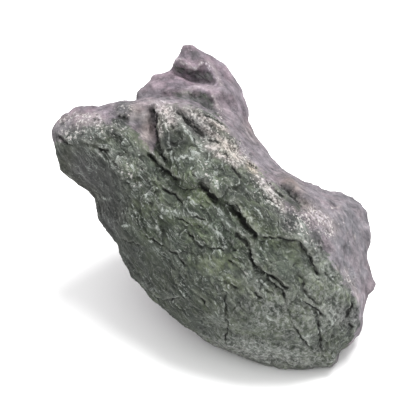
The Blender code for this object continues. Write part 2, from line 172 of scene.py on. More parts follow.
# Rounded ridges, and hollows where the height is negative: width, height and line.
FORMS = {
    "pocket": (2.4, -0.5, [(38.5, 13.5), (41.5, 10.5), (44.5, 7), (48, 4), (51, 1)]),
    "rim of the pocket": (1.8, 0.9, [(35, 13), (38.5, 9.5), (42, 5), (46, 0.5)]),
    "long hollow": (1.6, -0.9, [(-17, 52), (-13.5, 48.5), (-11, 46), (-6.5, 42.5), (-4, 40.5), (-1, 39)]),
    "ridge above the long hollow": (1.8, 0.9, [(-14, 53), (-10, 50), (-6, 46.5), (-1, 43)]),
    "ridge below the long hollow": (2.2, 1.6, [(-18, 49), (-15, 45), (-11.5, 41.5), (-8, 38), (-5, 34.5)]),
    "back rim of the crest": (1.4, 0.9, [(-1, 48.5), (3, 46.5), (7.5, 43)]),
    "recess beside the rear lump": (2.6, -2.0, [(0, 67), (-1, 64), (-1, 61), (-2.5, 57)]),
    "ridge beside the recess": (1.8, 1.4, [(1.5, 65), (3, 61), (4.5, 56.5)]),
    "rim of the peak": (1.8, 1.0, [(-18, 86), (-15, 84.5), (-11.5, 81.5), (-8, 81.5), (-5, 84), (-1, 83)]),
    "dent in the peak": (2.6, -1.2, [(-10, 91), (-8.5, 88), (-8, 85.5)]),
    "dent in the rear lump": (1.8, -1.0, [(-15, 72.5), (-12.5, 70.5), (-11, 68)]),
    "knob on the nose": (4.6, 1.5, [(-49, 56), (-46, 55.5)]),
    "notch beside the knob": (1.4, -1.5, [(-51.5, 57), (-51.5, 53)]),
    "pit under the knob": (3.2, -2.4, [(-48.5, 48.5), (-45.5, 47.5)]),
    "fill beside the cleft": (2.6, 1.6, [(-33.5, 54), (-32.5, 50), (-32, 44)]),
    "dent in the nose": (1.8, -1.0, [(-81, 47.5), (-80, 46)]),
    "groove in the nose": (1.6, -1.0, [(-84, 41), (-79.5, 37.5), (-76, 35)]),
    "dent in the nose, right": (2.0, -0.8, [(-71, 46), (-69.5, 40)]),
    "seam of the right end": (3.0, -1.0, [(72.5, -30), (76, -38), (79, -46)]),
    "hollow of the shoulder": (3.0, -1.2, [(59, -15), (61, -21), (62, -26)]),
}

# Calcite, warm white on the crest and the crust, cool on the broad face: width, strength and line.
WARM_FLECKS = {
    "block top": (8.0, 1.0, [(-26, 55.5), (-23.5, 53), (-20.5, 49)]),
    "block edge": (3.0, 0.6, [(-28, 52), (-27.5, 46), (-26.5, 40)]),
    "crest, left": (3.0, 0.6, [(-33, 60), (-26, 58), (-19.5, 57), (-13, 55), (-6.5, 54)]),
    "above the long hollow": (2.8, 0.9, [(-5.5, 50), (-1, 49), (2, 47), (5.5, 44.5), (9, 43)]),
    "smooth part above the hollow": (5.5, 0.7, [(-15, 55), (-10, 52.5), (-5, 50), (-2, 46.5)]),
    "crest band, upper": (4.0, 0.9, [(-4, 44), (0.5, 41.5), (5, 38.5), (9, 36)]),
    "crest band, middle": (6.4, 0.85, [(0, 34.5), (5, 34.5), (10, 34), (14, 30.5), (16, 27)]),
    "crest band, speckled foot": (4.0, 0.8, [(3, 30), (7, 29), (11, 27), (14, 23.5)]),
    "crest band, lower": (4.4, 0.8, [(14, 31), (18, 26.5), (22, 23), (25.5, 18.5)]),
    "crest band, end": (4.4, 0.7, [(25.5, 17), (29.5, 12.5), (34.5, 6), (39, 1)]),
    "yellow spot": (4.6, 0.9, [(20, 25), (22.5, 22.5), (24.5, 19.5)]),
    "pocket, edge": (2.0, 0.6, [(42.5, 2), (48, -1.5), (53, -3.5)]),
    "flecked shoulder, edge": (7.0, 0.8, [(55.5, -1), (59, -4), (62.5, -6), (66, -10.5)]),
    "right seam": (2.8, 0.7, [(73, -33), (75, -37.5), (78, -42), (80, -47)]),
    "right seam, spot": (1.8, 0.8, [(67.5, -31), (68.5, -32)]),
    "right face, spot": (1.6, 0.7, [(79.5, -14), (80, -15.5)]),
    "nose top": (3.4, 0.9, [(-73, 51), (-69, 52), (-64, 51), (-60, 51.5)]),
    "nose top, left": (3.4, 0.7, [(-81.5, 49.5), (-78, 51.5), (-73.5, 53)]),
    "nose top, lower": (5.0, 0.8, [(-71, 48), (-65, 48.5), (-60, 48)]),
    "rim of the peak": (2.0, 0.6, [
        (-18.5, 86), (-15, 84), (-12.5, 81.5), (-9.5, 80.5), (-7, 81.5), (-5, 84.5),
    ]),
    "slope beside the peak": (2.4, 0.6, [(-1, 85.5), (2.5, 80.5), (4.5, 76), (6.5, 72)]),
    "rear lump, right": (2.6, 0.5, [(-12.5, 67.5), (-8, 70.5), (-3.5, 69.5), (1, 70)]),
    "rear lump, lower": (2.0, 0.5, [(-14.5, 66), (-10.5, 65.5), (-7, 66)]),
    "ridge beside the recess": (1.6, 0.7, [(1.5, 65), (3, 61), (4.5, 56.5)]),
    "scratch": (0.8, 0.6, [(70.5, 0), (72.5, -5.5), (74.5, -12.5)]),
    "scratch, left": (0.8, 0.5, [(68, -1), (69.5, -6.5), (71, -11)]),
    "scratch, level": (1.0, 0.9, [(66, 1), (69, 1.5), (72.5, 2)]),
}

COOL_FLECKS = {
    "spot on the ridge": (1.6, 1.0, [(-9, 39.5), (-7.5, 38)]),
    "spot on the ridge, lower": (2.2, 1.0, [(-5, 35), (-4.5, 32.5)]),
    "light ledge of the block": (2.6, 0.8, [(-20, 28), (-14, 28), (-11, 30)]),
    "pale patch under the crest": (5.2, 1.0, [(-9, 29.5), (-5.5, 28), (-2.5, 26)]),
    "arc above the main ledge": (2.8, 0.9, [(-7, 19.5), (-3, 18.5), (1, 17), (4, 13)]),
    "ridge under the hollow": (2.4, 1.0, [
        (-18, 50.5), (-15.5, 47), (-13, 43.5), (-10.5, 40), (-7, 36), (-3, 31.5),
    ]),
    "crest band, foot": (4.8, 0.6, [(-4, 36.5), (0, 36), (4, 35.5)]),
    "flecked shoulder": (6.0, 0.9, [(47.5, -8.5), (49.5, -12.5), (50.5, -17)]),
    "flecked shoulder, lower": (2.6, 0.9, [(53.5, -15.5), (56, -20)]),
    "flecked right slope": (7.5, 0.5, [(61.5, -31), (67, -35), (72.5, -40.5)]),
    "streak below the main ledge": (2.7, 1.0, [(1, 2.5), (4.5, -0.5), (7.5, -4), (10.5, -8)]),
    "streak below the main ledge, end": (2.1, 0.8, [(10.5, -8), (13.5, -10), (17.5, -12.5)]),
    "shelf streak": (2.7, 0.8, [(-26.5, 0.5), (-21.5, -0.5), (-15.5, -2), (-9.5, -2.5)]),
    "shelf streak, lower": (2.2, 0.7, [(-8, -4), (-3.5, -7), (1.5, -9.5), (5, -13)]),
    "pale middle of the olive": (4.4, 0.7, [(-1.5, -27), (2.5, -29)]),
    "white patch": (3.7, 1.0, [(19.5, -33.5), (23, -36.5), (26.5, -39)]),
    "below the facet": (2.4, 1.0, [(-40.5, 36), (-39, 33), (-37.5, 30)]),
    "below the facet, right": (1.8, 0.7, [(-37.5, 35.5), (-34, 33), (-31.5, 31)]),
    "squiggle, upright": (1.5, 0.9, [(-42, 24), (-41, 20.5), (-42, 16)]),
    "squiggle, level": (1.5, 0.9, [(-44, 15), (-40.5, 13.5), (-37, 13)]),
    "squiggle, low": (1.8, 0.8, [(-34, 10.5), (-33.5, 7), (-33, 3.5)]),
    "squiggle, hook": (1.3, 0.6, [(-50, 31), (-47.5, 29), (-44, 28), (-44.5, 24.5)]),
    "nose ledge edge": (1.5, 1.0, [
        (-61.5, 32), (-58, 29), (-55, 26.5), (-51.5, 23), (-47.5, 19.5), (-44, 16),
    ]),
    "nose ledge edge, second": (1.2, 0.9, [(-53.5, 29.5), (-52, 27), (-49.5, 22.5)]),
    "nose flecks": (9.0, 0.5, [(-80, 42), (-73, 41.5), (-66, 41.5)]),
    "nose curl": (1.2, 0.8, [(-62.5, 44.5), (-60, 41), (-57.5, 38.5)]),
    "line beside the pit": (1.3, 0.8, [(-49, 46.5), (-45, 44)]),
    "flank line": (1.0, 0.4, [(-65.5, 27), (-66.5, 23), (-66.5, 18.5)]),
    "flank line, right": (1.0, 0.5, [(-63, 27), (-62, 21.5), (-61.5, 18)]),
    "flank spot": (1.4, 0.9, [(-58, 6), (-54.5, 5.5)]),
    "flank spot, right": (1.4, 0.7, [(-49, 9), (-48, 6.5)]),
    "bottom streak": (1.9, 0.8, [(28, -55), (31.5, -57.5), (35.5, -59), (39, -61.5)]),
    "bottom fleck": (3.2, 0.7, [(51.5, -67), (54, -71)]),
    "left squiggle": (1.6, 0.8, [(-47, -9), (-43.5, -8), (-41, -10)]),
    "middle squiggle": (1.6, 0.7, [(-33.5, -7.5), (-31, -9.5), (-28.5, -8.5)]),
    "bottom edge flecks": (5.4, 0.35, [(21.5, -72.5), (35, -75.5), (48.5, -78)]),
    "foot flecks": (4.3, 0.45, [(2, -51), (6.5, -56.5), (14, -61.5)]),
}

# Patches of colour: centre, radii, angle and strength.
PATCHES = {
    "olive": [
        ((-5.5, 7.5), (8.6, 4.8), -20, 1), ((19, -3.5), (10.7, 3.7), -45, 0.8),
        ((2, -28.5), (8, 4.8), -10, 1), ((11.5, -27.5), (4.8, 3.7), 0, 0.7),
        ((-33.5, -1), (6.4, 4.3), 0, 0.7), ((-16, 17), (8.6, 2.7), -38, 0.6),
        ((10.5, -37), (8.6, 3.2), -35, 0.6), ((45.5, -19), (5.4, 3.2), -30, 0.5),
        ((-8, -6.5), (6.4, 2.7), -10, 0.7), ((-32.5, 32.5), (7.5, 2.7), -35, 0.4),
        ((-49.5, 42), (4.8, 2.7), 0, 0.3), ((58, -39), (4.8, 3.7), 0, 0.5),
    ],
    # Bleached, with a mottle of pale flecks.
    "ashen": [
        ((36, -56), (26, 14), -30, 0.8), ((30, -76), (44, 9), -8, 1.0), ((62, -52), (14, 18), -70, 0.8),
        ((10, -62), (16, 8), -20, 0.5), ((58, -30), (10, 12), -60, 0.6),
    ],
    # Darker rock, and painted shade in dents, pits, the pocket and under the rear lump.
    "dark_and_shade": [
        ((-9, 89), (3.0, 3.0), -20, 0.9), ((-14, 91.5), (2.8, 1.2), -10, 0.6),
        ((-13.5, 71.5), (1.6, 2.0), 30, 0.7), ((-29.5, 64), (3.0, 1.2), -10, 0.5),
        ((-23.5, 62), (3.0, 1.5), -10, 0.8), ((-17, 62.5), (4.0, 1.6), 0, 0.7),
        ((-9, 59), (5.0, 1.8), -40, 0.8), ((-1, 65), (1.4, 3.0), 0, 0.6),
        ((-2, 59.5), (2.2, 3.0), 0, 0.7), ((-2, 53), (3.5, 1.3), -40, 0.9),
        ((-52, 56), (1.4, 2.2), 0, 0.6), ((-47, 48), (3.2, 2.8), 0, 1.0),
        ((-47, 55.5), (4.5, 3.5), 0, 0.45), ((-81, 47), (1.5, 1.6), 0, 0.9),
        ((-74, 46), (2.0, 1.2), -20, 0.7), ((-70, 41.5), (1.4, 3.4), 0, 0.8),
        ((-83.5, 40.5), (1.8, 1.8), 0, 0.8), ((-77.5, 36), (4.0, 1.4), -40, 0.6),
        ((-2.5, 13.5), (4.3, 2.1), -35, 0.9), ((-22.5, 37.5), (4.5, 5.5), 0, 0.8),
        ((-14, 36), (3.7, 4.3), 0, 0.6), ((-40, -21), (2.7, 1.6), 0, 0.9),
        ((42.5, -6.5), (3.8, 4.6), 0, 1.0), ((57, -13.5), (2.6, 3.4), 0, 0.8),
        ((60.5, -21), (1.4, 3.4), 0, 0.7), ((49, -19), (2.0, 2.6), 0, 0.6),
        ((71, 6.5), (4.0, 1.6), 0, 0.3), ((75.5, -65), (2.7, 4.3), 0, 0.7),
        ((74, -52.5), (2.1, 4.3), 0, 0.5), ((15.5, 9.5), (4.3, 3.2), 0, 0.5),
        ((8.5, -21.5), (2.2, 1.3), -30, 0.8), ((-29.5, 51), (1.6, 3.5), 0, 0.5),
        ((47.5, 4.5), (7.0, 2.0), -45, 0.25), ((42, 11), (4.0, 1.6), -45, 0.5),
        ((45.5, 6), (7.0, 2.2), -45, 0.6),
    ],
    # Speckled finely, light and dark.
    "speckled": [
        ((-70, 48), (17, 6), 0, 0.7), ((-74, 41), (11, 5), 0, 0.8), ((-55, 43), (12, 7), 0, 0.6),
        ((-46, 55), (8, 5), 0, 0.7), ((-22, 50), (9, 9), 0, 0.6), ((-2, 44), (15, 8), -45, 0.8),
        ((14, 31), (13, 7), -48, 1.0), ((30, 10), (12, 7), -48, 0.7), ((46, -6), (9, 8), 0, 1.0),
        ((57, -8), (12, 10), -40, 0.7), ((6, 52), (6, 8), 0, 0.5), ((-3, 15), (10, 8), -40, 0.5),
        ((-42, 22), (12, 10), -40, 0.4), ((75, -38), (6, 9), 0, 0.5),
    ],
    # Painted shade and painted light over wide patches: shade on faces turned from the lamp and under
    # overhangs, light on faces and edges that should catch it, with darker rock and paler rock in places.
    "shade": [
        ((-47, 56), (5, 5), 0, 0.75), ((0, -17), (10, 4), -10, 0.35), ((-70, 39), (15, 8), -20, 0.4),
        ((-62, 31), (16, 6), -35, 0.5), ((-42, 15), (9, 12), -20, 0.3), ((-58, -8), (5, 16), -35, 1.0),
        ((27, -3), (8, 5), -40, 0.8), ((-18, 6), (10, 6), -40, 0.5), ((-15, 17.5), (11, 6), -38, 0.5),
        ((8, -3), (10, 5), -45, 0.3), ((42.5, -6.5), (6, 6), 0, 1.0), ((45, 6), (9, 4), -45, 0.35),
        ((-48, -24), (24, 12), -42, 0.9), ((-27, -38), (14, 9), -10, 0.9),
        ((-60, 2), (16, 10), -60, 1.0), ((-79, 24), (4, 6), 0, 0.7), ((-68, 9), (10, 4), -45, 1.0),
        ((-49, -22), (12, 4), -55, 1.0), ((-48, 27), (8, 6), -35, 0.4), ((-60, 14), (10, 8), -30, 0.45),
        ((-10.5, -21), (12, 5.4), -10, 0.5), ((-32, 2), (20, 12), -40, 0.6),
        ((14, 13), (12, 6), -42, 1.0), ((-18, 34), (8, 10), 0, 0.8), ((-18, -52), (16, 8), -35, 0.9),
        ((8, -50), (10, 8), 0, 0.4), ((-8, 88), (7, 4), -20, 0.4),
    ],
    "light": [
        ((-14, 44), (8, 2.4), -48, 0.8), ((33, 11), (7, 3), -48, 0.6), ((26, 18), (5, 2.4), -48, 0.5),
        ((-23, 53), (5, 6), 0, 0.9), ((20, 26), (9, 4), -48, 0.9), ((79, -57), (14, 5), 80, 1.0),
        ((38, -26), (17, 9), -35, 1.0), ((22.5, 22.5), (6, 3.5), -45, 1.0),
        ((58, -34), (12, 10), -40, 1.0), ((60, -60), (12, 14), -70, 0.6), ((22, -79), (40, 7), -8, 1.0),
        ((30, -60), (18, 10), -30, 0.35), ((-39, 54), (6, 5), 0, 0.9), ((-35, 43), (6, 9), 0, 1.0),
        ((-4, 46), (16, 7), -42, 1.0), ((8, 36), (14, 5), -40, 0.7), ((-10, 77.5), (14, 3.5), -10, 0.8),
        ((-6, 71), (9, 3.5), -5, 0.8),
    ],
    "grey": [
        ((-66, 18), (22, 14), -45, 1.0), ((-58, -2), (16, 14), -60, 1.0), ((-72, 42), (13, 7), -8, 1.0),
        ((-52, 45), (10, 6), 0, 0.6), ((-22, 53), (9, 6), -40, 1.0), ((-8, 46), (17, 7), -47, 1.0),
        ((12, 34), (14, 6), -50, 0.7), ((44, -5), (12, 7), -30, 0.8), ((57, -15), (10, 9), -60, 0.9),
        ((-8, 60), (14, 5), -20, 1.0), ((-8, 78), (14, 5), -10, 1.0), ((78, -58), (6, 16), 80, 0.9),
        ((20, -80), (46, 6), -8, 0.6), ((-50, -30), (10, 18), 45, 0.4),
    ],
    "warm": [
        ((-40, 53), (6, 6), 0, 0.7), ((-68, 9), (12, 5), -45, 0.6), ((-34.5, 44), (4.5, 13), 0, 0.9),
        ((45, 14), (8, 4), -35, 1.0), ((50, 4), (6, 3), -45, 0.8), ((22.5, 22.5), (4.4, 2.8), -45, 1.0),
        ((-79, 25), (4, 6), 0, 0.7), ((24, 45), (8, 5), -60, 0.5), ((8, 42), (9, 3), -45, 0.5),
        ((10, 33), (10, 4), -45, 0.4),
    ],
    "green": [
        ((-2, 2), (36, 26), -45, 1.0), ((-30, -6), (16, 12), 0, 0.8),
    ],
    "pink": [
        ((-10, 82), (30, 22), 0, 0.9), ((-68, 53), (20, 4), 0, 0.9), ((18, 62), (14, 10), -60, 0.5),
        ((-23, 53), (6, 5), -40, 0.9),
    ],
    "cool": [
        ((79, -36), (8, 8), 0, 0.9), ((76, -15), (12, 24), 0, 1.0), ((-47, 56), (6, 6), 0, 1.0),
        ((-40, 52), (6, 6), 0, 0.8),
    ],
}

# Where the stone is freshly broken, green-grey; the rest is mauve-grey crust. Each has how fully it is
# broken, how far its border fades in mm, the lowest c that it reaches, and its outline in (a, b).
BROKEN_OUTLINES = {
    "broad face": (1.0, 4.5, -14, [
        (-88, 36), (-82, 38), (-74, 43), (-66, 45), (-58, 47), (-52, 50.5), (-46, 50), (-42, 43),
        (-37.5, 36), (-31.5, 30), (-28.5, 35), (-28.5, 43), (-28.5, 52), (-26, 55), (-18, 57), (-7, 56),
        (0, 52), (7, 46), (13, 38), (18, 31), (23, 26), (29, 17), (35, 9), (42, 1), (49, -5), (54, -12),
        (59, -19), (64, -29), (70, -38), (76, -45), (80, -50), (81, -60), (78, -70), (72, -80), (66, -90),
        (20, -90), (-20, -68), (-45, -42), (-60, -15), (-70, 5), (-88, 22),
    ]),
    "front of the rear lump": (0.6, 2.0, -60, [
        (-21.5, 66.5), (-14, 68), (-5.5, 67), (1, 64.5), (3.5, 57.5), (5.5, 51.5), (1, 53), (-5.5, 59),
        (-11.5, 60.5), (-18, 61.5),
    ]),
    "hollow under the peak": (0.65, 2.0, -60, [
        (-21, 84), (-17.5, 83), (-11.5, 81), (-6, 79.5), (-1, 80.5), (2.5, 77), (4.5, 72.5), (-3, 73.5),
        (-10.5, 76), (-17.5, 78.5), (-21, 80.5),
    ]),
    "pocket beside the crest": (0.6, 2.0, -60, [
        (32, 17), (37, 14.5), (42, 9), (47, 4), (51, 0.5), (47, -1.5), (42, 2), (36, 8), (31, 13),
    ]),
}

# Where the broken face is worn smooth: centre, radii, angle and strength.
CALM = [
    ((-64, 20), (26, 11), -40, 1.0), ((-42, -22), (30, 14), -42, 0.9), ((-38, 45), (13, 7), -65, 1.0),
    ((-10, 43), (14, 4), -47, 1.0), ((45, -28), (18, 8), -35, 0.7), ((20, -64), (48, 15), -8, 0.7),
    ((-2, -30), (14, 8), -20, 0.5),
]

# The directions a, b and c, one to a row.
FACE_AXES = np.array([
    (1, 0, 0),
    (0, math.sin(FACE_ELEVATION), math.cos(FACE_ELEVATION)),
    (0, -math.cos(FACE_ELEVATION), math.sin(FACE_ELEVATION)),
])


def to_face(points):
    return (points - FACE_ORIGIN) @ FACE_AXES.T / MM


def unit(vector):
    return vector / np.linalg.norm(vector)


def smoothstep(low, high, value):
    t = np.clip((value - low) / (high - low), 0, 1)
    return t * t * (3 - 2 * t)


def put_in_scene(obj):
    bpy.context.scene.collection.objects.link(obj)


# ---- patterns in space

TABLE = 4096
SEED = 11
SHUFFLE = (73856093, 19349663, 83492791, 2654435)  # large and unlike, for x, y, z and the seed
NOISE_GAIN = 1.6  # brings the smooth noise to about -1 to 1
draws = np.random.default_rng(SEED)
GRADIENTS = draws.normal(size=(TABLE, 3))
GRADIENTS /= np.linalg.norm(GRADIENTS, axis=1)[:, None]
JITTERS = draws.uniform(0, 1, size=(TABLE, 3))
TILTS = draws.uniform(-1, 1, size=(TABLE, 3))


def hashed(cells, seed):
    """A row of the tables for each cell, as good as random."""
    x, y, z = cells.T
    by_x, by_y, by_z, by_seed = SHUFFLE
    return (x * by_x ^ y * by_y ^ z * by_z ^ seed * by_seed) % TABLE


def noise(points, size, seed=0):
    """Smooth noise, about -1 to 1, with bumps of that size."""
    places = points / size
    cells = np.floor(places).astype(np.int64)
    inside = places - cells
    eased = inside**3 * (inside * (inside * 6 - 15) + 10)
    total = np.zeros(len(points))
    for corner in itertools.product((0, 1), repeat=3):
        corner = np.array(corner)
        share = np.prod(np.where(corner, eased, 1 - eased), axis=1)
        slope = GRADIENTS[hashed(cells + corner, seed)]
        total += share * np.einsum("ij,ij->i", slope, inside - corner)
    return total * NOISE_GAIN


def fractal(points, size, octaves, seed=0, fade=0.5):
    total = np.zeros(len(points))
    for octave in range(octaves):
        total += fade**octave * noise(points, size / 2**octave, seed + octave)
    return total


def plates(points, size, seed=0):
    """Tilted plates, one for each cell of about that size: height from -1 to 1."""
    places = points / size
    cells = np.floor(places).astype(np.int64)
    nearest = np.full(len(points), np.inf)
    height = np.zeros(len(points))
    for step in itertools.product((-1, 0, 1), repeat=3):
        corner = cells + np.array(step)
        key = hashed(corner, seed)
        offset = places - corner - JITTERS[key]
        distance = np.einsum("ij,ij->i", offset, offset)
        closer = distance < nearest
        nearest[closer] = distance[closer]
        height[closer] = np.einsum("ij,ij->i", offset, TILTS[key])[closer]
    return height


def along(points, line, reach):
    """For points near a polyline: index, distance, side (1 is its left) and way along it; then its length."""
    line = np.array(line, float)
    near = np.all((points > line.min(0) - reach) & (points < line.max(0) + reach), axis=1)
    index = np.flatnonzero(near)
    spots = points[index]
    best = np.full(len(spots), np.inf)
    side = np.ones(len(spots))
    travel = np.zeros(len(spots))
    passed = 0.0
    for start, end in zip(line[:-1], line[1:]):
        step = end - start
        length = np.linalg.norm(step)
        share = np.clip((spots - start) @ step / length**2, 0, 1)
        offset = spots - start - share[:, None] * step
        distance = np.hypot(*offset.T)
        closer = distance < best
        best[closer] = distance[closer]
        side[closer] = np.where(step[0] * offset[:, 1] - step[1] * offset[:, 0] < 0, -1, 1)[closer]
        travel[closer] = passed + share[closer] * length
        passed += length
    return index, best, side, travel, passed


def inside_outline(points, outline):
    """Signed distance to a closed outline, positive inside."""
    corners = np.array(outline, float)
    inside = np.zeros(len(points), bool)
    best = np.full(len(points), np.inf)
    for start, end in zip(corners, np.roll(corners, -1, axis=0)):
        step = end - start
        share = np.clip((points - start) @ step / (step @ step), 0, 1)
        best = np.minimum(best, np.linalg.norm(points - start - share[:, None] * step, axis=1))
        spans = (start[1] > points[:, 1]) != (end[1] > points[:, 1])
        if step[1]:
            crossing = start[0] + (points[:, 1] - start[1]) / step[1] * step[0]
            inside ^= spans & (points[:, 0] < crossing)
    return np.where(inside, best, -best)


# ---- the surface

def vectors(items, name):
    flat = np.empty(len(items) * 3, np.float32)
    items.foreach_get(name, flat)
    return flat.reshape(-1, 3).astype(float)


def coordinates(mesh):
    return vectors(mesh.vertices, "co")


def move_to(mesh, points):
    mesh.vertices.foreach_set("co", points.ravel().astype(np.float32))


def normals(mesh):
    return vectors(mesh.vertex_normals, "vector")


def evaluated(obj):
    """Applies the object's modifiers, and returns its new mesh."""
    graph = bpy.context.evaluated_depsgraph_get()
    mesh = bpy.data.meshes.new_from_object(obj.evaluated_get(graph))
    obj.modifiers.clear()
    old, obj.data = obj.data, mesh
    bpy.data.meshes.remove(old)
    mesh.name = obj.name
    return mesh


def fine_copy(node):
    """A fine, even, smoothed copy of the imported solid."""
    mesh = node.data.copy()
    obj = bpy.data.objects.new("stone_surface", mesh)
    put_in_scene(obj)
    welded = bmesh.new()
    welded.from_mesh(mesh)
    bmesh.ops.remove_doubles(welded, verts=welded.verts, dist=WELD)
    welded.to_mesh(mesh)
    welded.free()
    remesh = obj.modifiers.new("even", "REMESH")
    remesh.mode = "VOXEL"
    remesh.voxel_size = CELL * MM
    soften = obj.modifiers.new("soften", "SMOOTH")
    soften.factor = 0.5
    soften.iterations = SOFTENING
    evaluated(obj)
    return obj


def warped(spots, size, amount, seed):
    """The places, each moved by smooth noise."""
    return spots + amount * np.stack([noise(spots, size, seed + axis) for axis in range(3)], axis=1)


def front_share(normal):
    """1 where the surface faces the camera side, 0 where it faces away."""
    return smoothstep(-0.02, 0.2, normal @ FACE_AXES[2])


def view_share(spots, normal):
    """1 where the listed marks belong: on what faces the camera side and lies no deeper than the peak."""
    return front_share(normal) * smoothstep(MARKS_END, MARKS_FULL, spots[:, 2])


def crust_share(spots, facing):
    """1 on the weathered crust, 0 on broken rock."""
    wander = 3.0 * noise(spots, 12, 3) + 2.4 * noise(spots, 5, 4) + 1.2 * noise(spots, 2.2, 5)
    broken = np.zeros(len(spots))
    for fullness, reach, lowest, outline in BROKEN_OUTLINES.values():
        edge = inside_outline(spots[:, :2], outline) + wander * reach / 4.5
        depth = spots[:, 2] - lowest + 1.5 * wander
        share = smoothstep(-reach, reach, edge) * smoothstep(-4, 4, depth)
        broken = np.maximum(broken, fullness * share)
    return 1 - broken * smoothstep(-0.5, -0.2, facing)


def ragged(spots, amount):
    """Face coordinates, shaken a little so that straight stretches of a line look torn."""
    shake = [
        amount * (noise(spots, 3.4, seed) + 0.55 * noise(spots, 1.5, seed + 1)) for seed in (21, 31)
    ]
    return spots[:, :2] + np.stack(shake, axis=1)


def crack_relief(spots):
    """Height along the cracks, and how near each point is to a crack and to a lip, 0 to 1."""
    height = np.zeros(len(spots))
    inside = np.zeros(len(spots))
    edge = np.zeros(len(spots))
    places = ragged(spots, 0.8)
    swing = np.clip(1 + 0.7 * noise(spots, 4.5, 25) + 0.4 * noise(spots, 2, 26), 0.35, 1.6)
    presence = 0.45 + 0.55 * smoothstep(-0.6, 0.2, noise(spots, 6, 27))
    for width, depth, lip, line in CRACKS.values():
        index, distance, side, travel, length = along(places, line, CRACK_REACH)
        ends = smoothstep(*END_TAPER, travel) * smoothstep(*END_TAPER, length - travel)
        half = (0.45 * width + 0.18) * swing[index]
        kept = np.maximum(presence[index], min(1, (width - 0.5) / 1.5))
        groove = np.exp(-((distance / half) ** 2)) * ends * kept
        above = np.where(side > 0, np.exp(-distance / PROUD_FADE), 0) * smoothstep(0, half, distance)
        below = np.where(side < 0, np.exp(-distance / LOW_FADE), 0) * smoothstep(0, half, distance)
        height[index] += lip * ends * (0.9 * above - 0.6 * below)
        height[index] -= 1.15 * depth * groove
        inside[index] = np.maximum(inside[index], groove)
        rise = np.where(side > 0, np.exp(-((distance / half - 1.6) ** 2)), 0) * ends * min(1, lip)
        edge[index] = np.maximum(edge[index], rise)
    return height, inside, edge


def form_relief(spots):
    """Height of the rounded ridges and hollows."""
    height = np.zeros(len(spots))
    places = ragged(spots, 0.6)
    for width, rise, line in FORMS.values():
        index, distance, _, travel, length = along(places, line, 3 * width)
        ends = smoothstep(-width, width, travel) * smoothstep(-width, width, length - travel)
        height[index] += rise * ends * np.exp(-((distance / width) ** 3))
    return height


def layer_axes():
    """The directions down the face along the layers, across the first within a layer, and through them."""
    through = unit(LAYER_NORMAL)
    run = unit(LAYER_TRACE - LAYER_TRACE @ through * through)
    return [run, np.cross(through, run), through]


def layer_coordinates(spots):
    return spots @ np.stack(layer_axes(), axis=1)


def terraces(layered, spots, thickness, seed):
    """Layers broken off in steps: each rises at once and falls away slowly, 0 to 1."""
    wander = 0.5 * noise(spots, 5 * thickness, seed) + 0.25 * noise(spots, 2 * thickness, seed + 1)
    wander += 0.5 * plates(spots, 3.5 * thickness, seed + 2)
    share = (layered[:, 2] / thickness + wander) % 1
    return np.where(share < RISE, share / RISE, (1 - share) / (1 - RISE))


def relief(spots, normal):
    """How far each point of the surface moves out along its normal, in mm."""
    facing = normal @ FACE_AXES[2]
    crust = crust_share(spots, facing)
    layered = layer_coordinates(warped(spots, 7, 1.3, 81) + warped(spots, 2.6, 0.5, 84) - spots)
    calm = spots_cover(spots, CALM)
    rugged = (1 - 0.75 * calm) * (0.3 + 0.7 * smoothstep(0.25, 0.75, facing))
    broken = rugged * (
        1.5 * smoothstep(-0.4, 0.5, noise(spots, 13, 43)) * terraces(layered, spots, 3.3, 41)
        + 0.5 * smoothstep(-0.3, 0.5, noise(spots, 8, 44)) * terraces(layered, spots, 1.4, 45)
        + 1.7 * plates(layered / (1.6, 1.0, 1.0), 8.5, 50)
        + 1.0 * smoothstep(-0.4, 0.4, noise(spots, 9, 46)) * plates(layered / (1.7, 1.0, 1.0), 4.4, 51)
        + 0.5 * smoothstep(-0.3, 0.5, noise(spots, 6, 47)) * plates(layered / (1.5, 1.0, 1.0), 2.3, 52)
    )
    broken += (0.5 + 0.4 * rugged) * fractal(spots, 7, 2, 61) + 0.28 * fractal(spots, 2.4, 2, 63, 0.7)
    weathered = (
        0.55 * fractal(spots, 10, 2, 71)
        + 0.24 * fractal(spots, 3.2, 3, 72)
        + 0.35 * plates(spots, 6, 53)
        - 0.35 * smoothstep(0.35, 0.7, noise(spots, 2.6, 73))
    )
    weathered += smoothstep(-0.1, -0.5, facing) * (
        1.1 * smoothstep(-0.3, 0.4, noise(spots, 16, 56)) * terraces(layered, spots, 5.5, 57)
        + 1.7 * plates(layered / (1.5, 1.0, 1.0), 15, 55)
    )
    height, inside, _ = crack_relief(spots)
    total = crust * weathered + (1 - crust) * broken
    return total * (1 - 0.6 * inside) + (height + form_relief(spots)) * view_share(spots, normal)


def shape(obj):
    mesh = obj.data
    points = coordinates(mesh)
    normal = normals(mesh)
    footing = smoothstep(RELIEF_FROM, RELIEF_FULL, points[:, 2] / MM)
    moved = points + normal * (relief(to_face(points), normal) * footing * MM)[:, None]
    moved[:, 2] = np.where(points[:, 2] < FOOT * MM, 0, np.maximum(moved[:, 2], 0))
    move_to(mesh, moved)
    mesh.update()


def dissolve_hinges(mesh):
    """Removes corners where only two faces meet: cut into triangles, those two would lie back to back."""
    work = bmesh.new()
    work.from_mesh(mesh)
    hinges = [vertex for vertex in work.verts if len(vertex.link_edges) == 2]
    bmesh.ops.dissolve_verts(work, verts=hinges)
    work.to_mesh(mesh)
    work.free()


